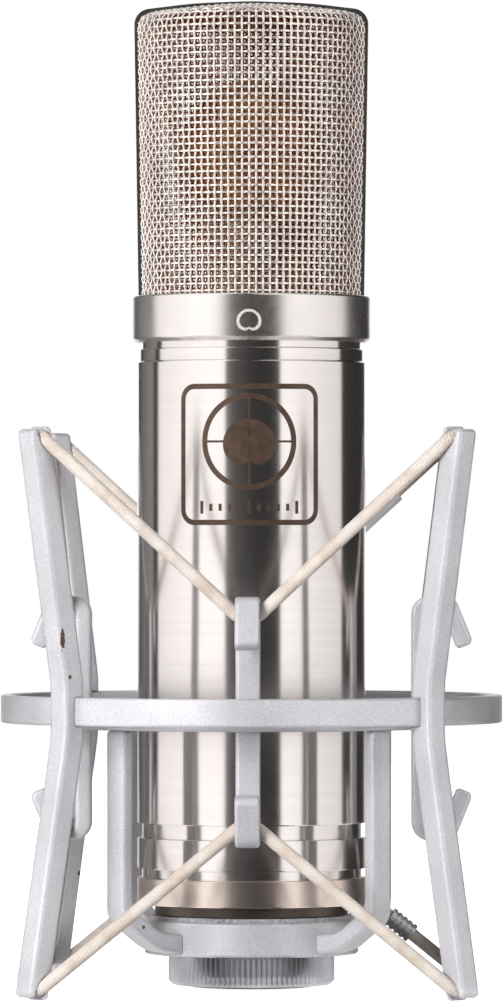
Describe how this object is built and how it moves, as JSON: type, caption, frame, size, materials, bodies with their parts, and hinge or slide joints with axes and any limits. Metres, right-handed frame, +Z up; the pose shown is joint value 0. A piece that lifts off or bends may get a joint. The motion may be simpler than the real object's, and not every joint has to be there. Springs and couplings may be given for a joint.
{
  "type": "condenser microphone",
  "caption": "Side-address condenser microphone with a woven wire head, screwed by a ring nut into an elastic cord shock mount with a swivel thread for a stand.",
  "frame": {"origin": "on the microphone's axis, in the plane of the mount's four feet, half a millimetre under the XLR outlet's mouth", "axes": "+Z up along the microphone's axis, -Y towards the sound source it faces, +X to the right seen from the front; the stand joint is behind, at +Y"},
  "size_m": [0.1142, 0.1435, 0.2249],
  "materials": {
    "mount_paint": "light silver-grey fine-grain paint",
    "elastic_cord": "cream braided elastic",
    "sleeve": "light grey shrink sleeve",
    "ferrule": "crimped grey metal",
    "nickel": "bright turned nickel plate",
    "satin_nickel": "bead-blasted satin nickel",
    "champagne": "satin champagne plate",
    "dark_base": "dark satin finish",
    "mesh": "woven nickel-plated wire",
    "lining": "fine bronze gauze",
    "felt": "grey felt",
    "zinc": "bare machined metal",
    "steel": "plain steel",
    "black_plastic": "black moulded plastic",
    "gold": "gold on film",
    "brass": "machined brass",
    "insulator": "ivory insulating plastic",
    "aluminium": "plain aluminium",
    "board": "green laminate",
    "core": "varnished laminations",
    "capacitor": "sleeved cans"
  },
  "bodies": {
    "suspension_frame": {"outer_ring": "mount_paint", "upright_front_right": "mount_paint", "upright_rear_right": "mount_paint", "upright_rear_left": "mount_paint", "upright_front_left": "mount_paint", "upper_cord": "elastic_cord", "lower_cord": "elastic_cord", "upper_cord_sleeve": "sleeve", "lower_cord_ferrule": "ferrule", "stand_lug": "mount_paint"},
    "stand_swivel": {"swivel_fork": "mount_paint", "pivot_bolt": "steel", "thread_adapter": "brass"},
    "washer": {"clamp_washer": "steel"},
    "knob": {"clamp_knob": "black_plastic"},
    "basket": {"inner_ring": "mount_paint", "hook_right": "mount_paint", "hook_rear": "mount_paint", "hook_left": "mount_paint", "hook_front": "mount_paint", "post_front_right": "mount_paint", "post_rear_right": "mount_paint", "post_rear_left": "mount_paint", "post_front_left": "mount_paint", "seat_dish": "mount_paint", "seat_felt": "felt", "nut_clip": "steel"},
    "nut": {"ring_nut": "mount_paint"},
    "microphone": {"threaded_base": "dark_base", "base_ring": "champagne", "band_ring": "nickel", "body_tube": "nickel", "top_ring": "nickel", "head_collar": "satin_nickel", "head_rib": "mesh", "grille_mesh": "mesh", "grille_lining": "lining", "xlr_insert": "black_plastic", "xlr_pins": "gold", "backplate_front": "brass", "diaphragm_front": "gold", "clamp_ring_front": "brass", "backplate_rear": "brass", "diaphragm_rear": "gold", "clamp_ring_rear": "brass", "capsule_screws": "steel", "capsule_leads": "insulator", "capsule_post": "insulator", "capsule_deck": "aluminium", "chassis_lower_plate": "aluminium", "chassis_upper_plate": "aluminium", "chassis_rail_left": "aluminium", "chassis_rail_right": "aluminium", "circuit_board": "board", "output_transformer": "core", "capacitors": "capacitor", "transistor": "black_plastic", "chassis_screws": "steel"}
  },
  "joints": [
    {"name": "suspension_bounce", "type": "slide", "parent": "suspension_frame", "child": "basket", "axis": [0, 0, 1], "range_m": [-0.005, 0.005], "stiffness_N_per_m": 1600, "springref_m": 0.0057, "deforming": ["upper_cord", "upper_cord_sleeve", "lower_cord", "lower_cord_ferrule"]},
    {"name": "nut_turn", "type": "hinge", "parent": "basket", "child": "nut", "pos_m": [0, 0, 0.0045], "axis": [0, 0, 1], "range_deg": [-3960, 0]},
    {"name": "mic_lift", "type": "slide", "parent": "basket", "child": "microphone", "axis": [0, 0, 1], "range_m": [0, 0.011]},
    {"name": "stand_tilt", "type": "hinge", "parent": "suspension_frame", "child": "stand_swivel", "pos_m": [0, 0.075, 0.058], "axis": [1, 0, 0], "range_deg": [-20, 110]},
    {"name": "washer_slide", "type": "slide", "parent": "stand_swivel", "child": "washer", "axis": [1, 0, 0], "range_m": [0, 0.002]},
    {"name": "knob_turn", "type": "hinge", "parent": "washer", "child": "knob", "pos_m": [0.0151, 0.075, 0.058], "axis": [1, 0, 0], "range_deg": [0, 720]}
  ],
  "couplings": [
    {"joint": "nut_turn", "follows": "mic_lift", "rad_per_m": -6283.2},
    {"joint": "knob_turn", "follows": "washer_slide", "rad_per_m": 6283.2}
  ]
}
